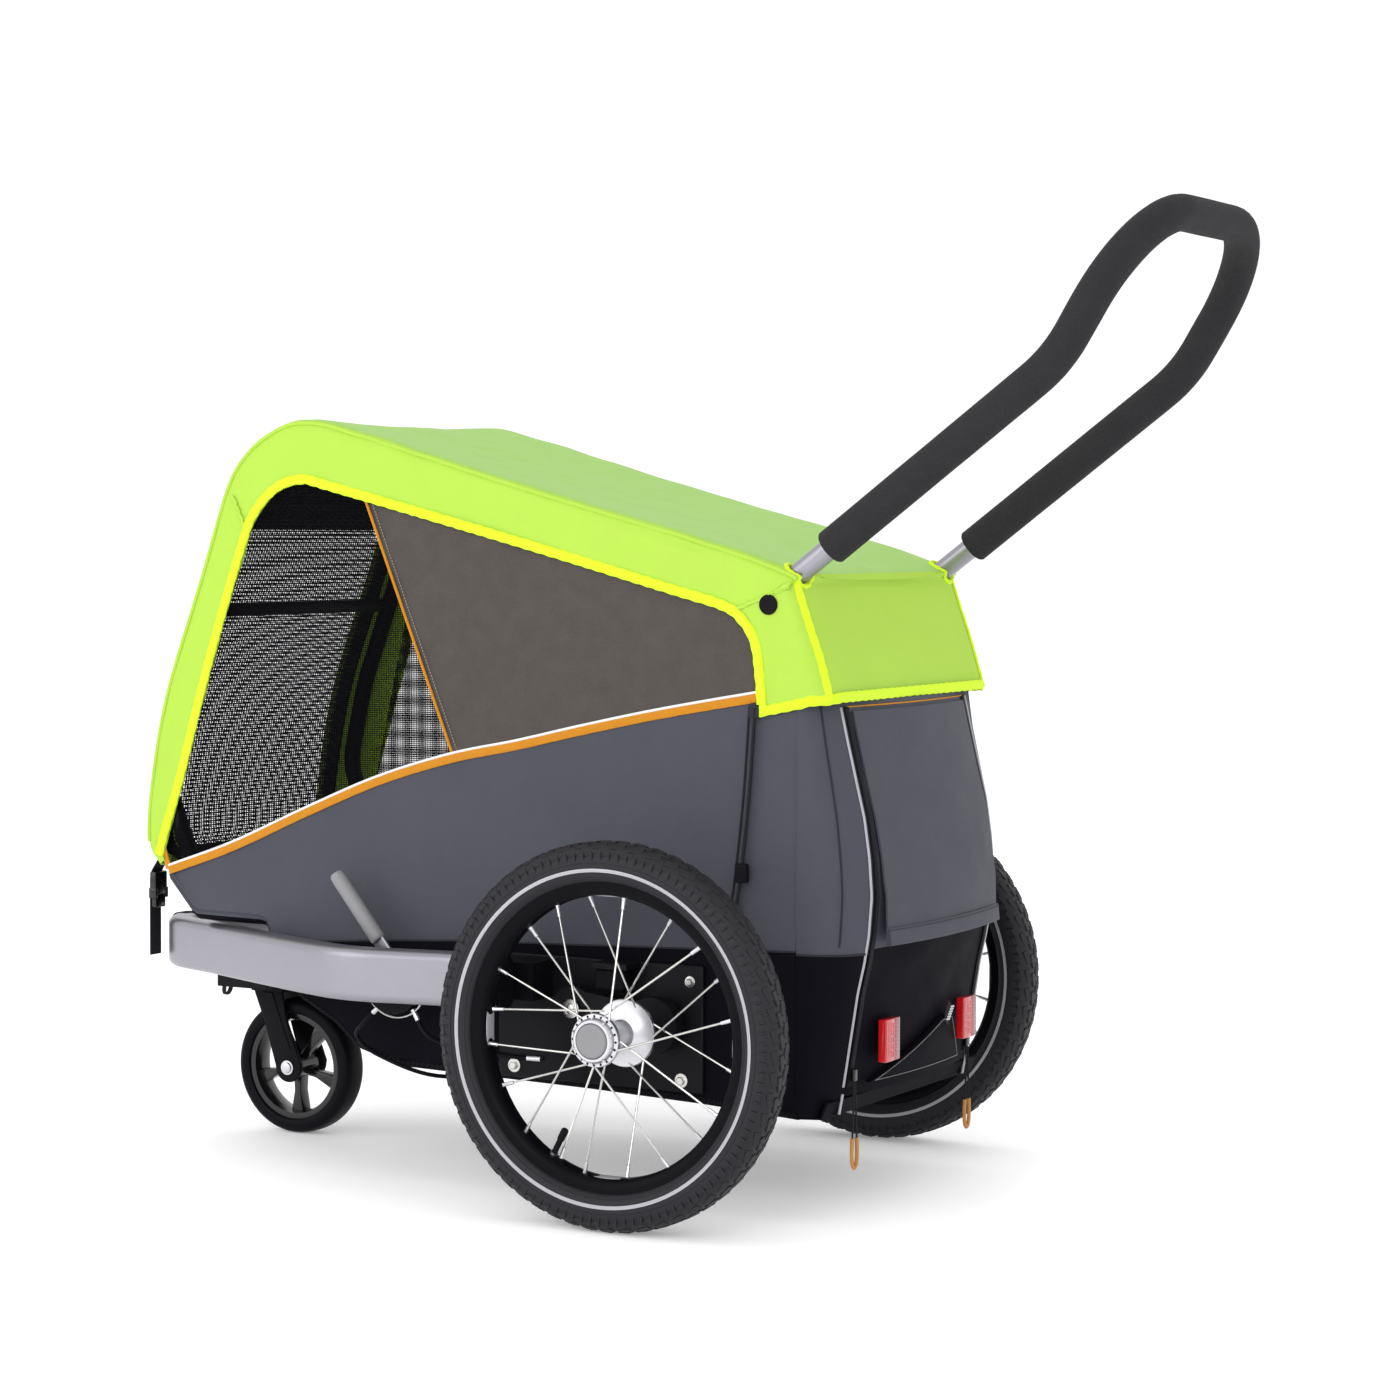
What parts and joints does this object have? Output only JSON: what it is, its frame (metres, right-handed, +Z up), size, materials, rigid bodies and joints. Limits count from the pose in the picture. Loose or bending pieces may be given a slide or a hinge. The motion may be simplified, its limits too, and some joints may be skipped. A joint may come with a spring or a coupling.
{
  "type": "bicycle trailer",
  "caption": "Two-wheeled pet bicycle trailer in stroller mode: fabric cabin on a tube frame, push bar, bumper, parking brake and a front caster wheel.",
  "frame": {"origin": "on the ground, in the middle of the length and width", "axes": "+Z up, +Y to the rear where the push bar is, +X to the left-hand wheel"},
  "size_m": [0.7146, 1.242, 1.0536],
  "materials": {
    "lime_fabric": "woven polyester, bright lime",
    "panel_grey": "coated woven polyester, dark grey",
    "upper_grey": "woven polyester, warm grey",
    "black_fabric": "coated woven polyester, black",
    "mesh_fabric": "open mesh",
    "aluminium": "satin anodised",
    "polished": "bright",
    "black_paint": "black powder coat",
    "black_plastic": "black",
    "grey_plastic": "mid grey",
    "rubber": "black rubber",
    "foam": "black foam",
    "reflector_red": "red reflector",
    "orange_cord": "orange loop on black cord"
  },
  "bodies": {
    "chassis": {"bar_socket_left": "black_plastic", "bar_socket_right": "black_plastic", "base_frame": "black_paint", "brake_cable_left": "black_plastic", "brake_cable_right": "black_plastic", "brake_housing": "black_plastic", "bumper": "aluminium", "caster_bracket": "black_paint", "corner_panel_left": "panel_grey", "corner_panel_right": "panel_grey", "cover": "lime_fabric", "cover_strap_left": "black_fabric", "cover_strap_right": "black_fabric", "elastic_left": "black_fabric", "elastic_right": "black_fabric", "elastomer_left": "rubber", "elastomer_right": "rubber", "floor_panel": "black_fabric", "front_crossbar": "black_paint", "front_window": "mesh_fabric", "rear_crossbar": "black_paint", "side_hoop_left": "black_paint", "side_hoop_right": "black_paint", "side_panel_left": "panel_grey", "side_panel_right": "panel_grey", "side_plate_left": "black_paint", "side_plate_right": "black_paint", "side_window_left": "mesh_fabric", "side_window_right": "mesh_fabric", "tub": "black_fabric", "upper_panel_left": "upper_grey", "upper_panel_right": "upper_grey"},
    "push_bar": {"push_bar": "aluminium", "foam_grip": "foam"},
    "rear_door": {"rear_door": "panel_grey", "reflector_left": "reflector_red", "reflector_right": "reflector_red", "pouch": "black_fabric"},
    "door_flap": {"door_flap": "panel_grey"},
    "zip_pull_left": {"zip_pull_left": "orange_cord"},
    "zip_pull_right": {"zip_pull_right": "orange_cord"},
    "brake_lever": {"brake_lever": "aluminium", "lever_grip": "grey_plastic"},
    "caster_carriage": {"caster_carriage": "black_plastic"},
    "index_knob": {"index_knob": "polished"},
    "caster_fork": {"fork": "black_plastic", "caster_axle": "polished"},
    "caster_wheel": {"caster_rim": "black_plastic", "caster_tyre": "rubber"},
    "swing_arm_left": {"swing_arm_left": "black_paint"},
    "wheel_left": {"tyre_left": "rubber", "rim_left": "black_paint", "hub_left": "polished"},
    "release_button_left": {"release_button_left": "grey_plastic"},
    "swing_arm_right": {"swing_arm_right": "black_paint"},
    "wheel_right": {"tyre_right": "rubber", "rim_right": "black_paint", "hub_right": "polished"},
    "release_button_right": {"release_button_right": "grey_plastic"}
  },
  "joints": [
    {"name": "push_bar_slide", "type": "slide", "parent": "chassis", "child": "push_bar", "axis": [0, 0.7986, 0.6018], "range_m": [0, 0.06]},
    {"name": "door_hinge", "type": "hinge", "parent": "chassis", "child": "rear_door", "pos_m": [0, 0.27947, 0.54], "axis": [1, 0, 0], "range_deg": [0, 100]},
    {"name": "door_flap_hinge", "type": "hinge", "parent": "rear_door", "child": "door_flap", "pos_m": [0, 0.28537, 0.528], "axis": [1, 0, 0], "range_deg": [0, 80]},
    {"name": "brake_lever_hinge", "type": "hinge", "parent": "chassis", "child": "brake_lever", "pos_m": [0.23, -0.22119, 0.228], "axis": [1, 0, 0], "range_deg": [-50, 0]},
    {"name": "caster_slide", "type": "slide", "parent": "chassis", "child": "caster_carriage", "axis": [0, -1, 0], "range_m": [0, 0.05]},
    {"name": "index_knob_slide", "type": "slide", "parent": "caster_carriage", "child": "index_knob", "axis": [0, -1, 0], "range_m": [0, 0.006], "stiffness_N_per_m": 600, "springref_m": -0.002},
    {"name": "caster_swivel", "type": "hinge", "parent": "caster_carriage", "child": "caster_fork", "pos_m": [0, -0.55219, 0.1778], "axis": [0, 0, 1], "continuous": true},
    {"name": "caster_spin", "type": "hinge", "parent": "caster_fork", "child": "caster_wheel", "pos_m": [0, -0.51869, 0.08], "axis": [1, 0, 0], "continuous": true},
    {"name": "suspension_left", "type": "hinge", "parent": "chassis", "child": "swing_arm_left", "pos_m": [0.225, -0.00719, 0.212], "axis": [1, 0, 0], "range_deg": [0, 5], "stiffness_Nm_per_rad": 150, "springref_deg": -11.46, "deforming": ["elastomer_left"]},
    {"name": "wheel_spin_left", "type": "hinge", "parent": "swing_arm_left", "child": "wheel_left", "pos_m": [0.3163, 0.08781, 0.2], "axis": [1, 0, 0], "continuous": true},
    {"name": "release_button_left_slide", "type": "slide", "parent": "wheel_left", "child": "release_button_left", "axis": [-1, 0, 0], "range_m": [0, 0.003], "stiffness_N_per_m": 800, "springref_m": -0.002},
    {"name": "zip_pull_left_hinge", "type": "hinge", "parent": "rear_door", "child": "zip_pull_left", "pos_m": [0.142, 0.2784, 0.15], "axis": [1, 0, 0], "range_deg": [0, 60]},
    {"name": "suspension_right", "type": "hinge", "parent": "chassis", "child": "swing_arm_right", "pos_m": [-0.225, -0.00719, 0.212], "axis": [1, 0, 0], "range_deg": [0, 5], "stiffness_Nm_per_rad": 150, "springref_deg": -11.46, "deforming": ["elastomer_right"]},
    {"name": "wheel_spin_right", "type": "hinge", "parent": "swing_arm_right", "child": "wheel_right", "pos_m": [-0.3163, 0.08781, 0.2], "axis": [1, 0, 0], "continuous": true},
    {"name": "release_button_right_slide", "type": "slide", "parent": "wheel_right", "child": "release_button_right", "axis": [1, 0, 0], "range_m": [0, 0.003], "stiffness_N_per_m": 800, "springref_m": -0.002},
    {"name": "zip_pull_right_hinge", "type": "hinge", "parent": "rear_door", "child": "zip_pull_right", "pos_m": [-0.142, 0.2784, 0.15], "axis": [1, 0, 0], "range_deg": [0, 60]}
  ]
}
